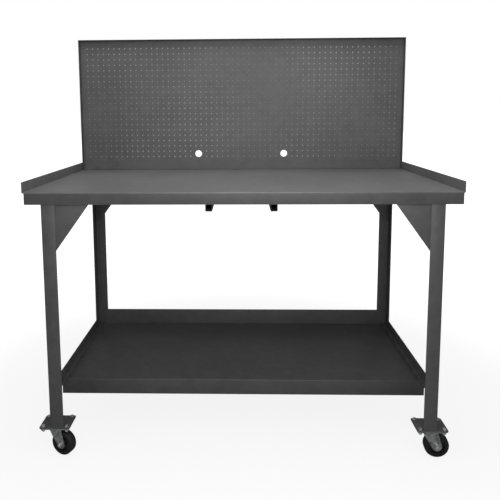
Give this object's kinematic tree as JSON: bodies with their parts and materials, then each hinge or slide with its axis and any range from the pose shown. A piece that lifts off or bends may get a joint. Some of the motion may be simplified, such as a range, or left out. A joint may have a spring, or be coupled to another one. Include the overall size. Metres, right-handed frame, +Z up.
{
  "type": "mobile workbench",
  "caption": "Mobile workbench: folded steel worktop with a pegboard back, angle legs with gussets, a lower shelf tray and swivel casters under the legs.",
  "frame": {"origin": "on the floor under the middle of the bench (bottom centre of the bounding box)", "axes": "+X to the right along the bench seen from the front, +Y from the front to the pegboard, +Z up"},
  "size_m": [1.524, 0.762, 1.594],
  "materials": {
    "paint": "dark grey powder coat, semi-matt",
    "zinc": "bright zinc plate",
    "bright_steel": "bare bright steel",
    "core": "moulded black plastic",
    "tread": "black rubber"
  },
  "bodies": {
    "bench": {"worktop": "paint", "peg_panel": "paint", "panel_rim": "paint", "channel_left": "paint", "channel_right": "paint", "leg_front_left": "paint", "leg_front_right": "paint", "leg_rear_left": "paint", "leg_rear_right": "paint", "gusset_front_left": "paint", "gusset_front_right": "paint", "gusset_rear_left": "paint", "gusset_rear_right": "paint", "shelf": "paint", "rail_left": "paint", "rail_right": "paint", "foot_front_left": "paint", "foot_front_right": "paint", "foot_rear_left": "paint", "foot_rear_right": "paint", "caster_bolts": "zinc", "caster_nuts": "zinc", "plate_front_left": "zinc", "plate_front_right": "zinc", "plate_rear_left": "zinc", "plate_rear_right": "zinc", "kingpin_front_left": "zinc", "kingpin_front_right": "zinc", "kingpin_rear_left": "zinc", "kingpin_rear_right": "zinc"},
    "swivel_front_left": {"balls_front_left": "bright_steel", "fork_front_left": "zinc", "axle_front_left": "zinc", "nut_front_left": "zinc", "sleeve_front_left": "bright_steel"},
    "wheel_front_left": {"core_front_left": "core", "tread_front_left": "tread"},
    "swivel_front_right": {"balls_front_right": "bright_steel", "fork_front_right": "zinc", "axle_front_right": "zinc", "nut_front_right": "zinc", "sleeve_front_right": "bright_steel"},
    "wheel_front_right": {"core_front_right": "core", "tread_front_right": "tread"},
    "swivel_rear_left": {"balls_rear_left": "bright_steel", "fork_rear_left": "zinc", "axle_rear_left": "zinc", "nut_rear_left": "zinc", "sleeve_rear_left": "bright_steel"},
    "wheel_rear_left": {"core_rear_left": "core", "tread_rear_left": "tread"},
    "swivel_rear_right": {"balls_rear_right": "bright_steel", "fork_rear_right": "zinc", "axle_rear_right": "zinc", "nut_rear_right": "zinc", "sleeve_rear_right": "bright_steel"},
    "wheel_rear_right": {"core_rear_right": "core", "tread_rear_right": "tread"}
  },
  "joints": [
    {"name": "swivel_front_left", "type": "hinge", "parent": "bench", "child": "swivel_front_left", "pos_m": [-0.685, -0.3353, 0.1027], "axis": [0, 0, 1], "continuous": true},
    {"name": "roll_front_left", "type": "hinge", "parent": "swivel_front_left", "child": "wheel_front_left", "pos_m": [-0.66129, -0.3444, 0.04445], "axis": [0.3584, 0.9336, 0], "continuous": true},
    {"name": "swivel_front_right", "type": "hinge", "parent": "bench", "child": "swivel_front_right", "pos_m": [0.685, -0.3353, 0.1027], "axis": [0, 0, 1], "continuous": true},
    {"name": "roll_front_right", "type": "hinge", "parent": "swivel_front_right", "child": "wheel_front_right", "pos_m": [0.7103, -0.33751, 0.04445], "axis": [0.0872, 0.9962, 0], "continuous": true},
    {"name": "swivel_rear_left", "type": "hinge", "parent": "bench", "child": "swivel_rear_left", "pos_m": [-0.685, 0.284, 0.1027], "axis": [0, 0, 1], "continuous": true},
    {"name": "roll_rear_left", "type": "hinge", "parent": "swivel_rear_left", "child": "wheel_rear_left", "pos_m": [-0.65985, 0.28753, 0.04445], "axis": [-0.1392, 0.9903, 0], "continuous": true},
    {"name": "swivel_rear_right", "type": "hinge", "parent": "bench", "child": "swivel_rear_right", "pos_m": [0.685, 0.284, 0.1027], "axis": [0, 0, 1], "continuous": true},
    {"name": "roll_rear_right", "type": "hinge", "parent": "swivel_rear_right", "child": "wheel_rear_right", "pos_m": [0.70984, 0.27872, 0.04445], "axis": [0.2079, 0.9781, 0], "continuous": true}
  ]
}
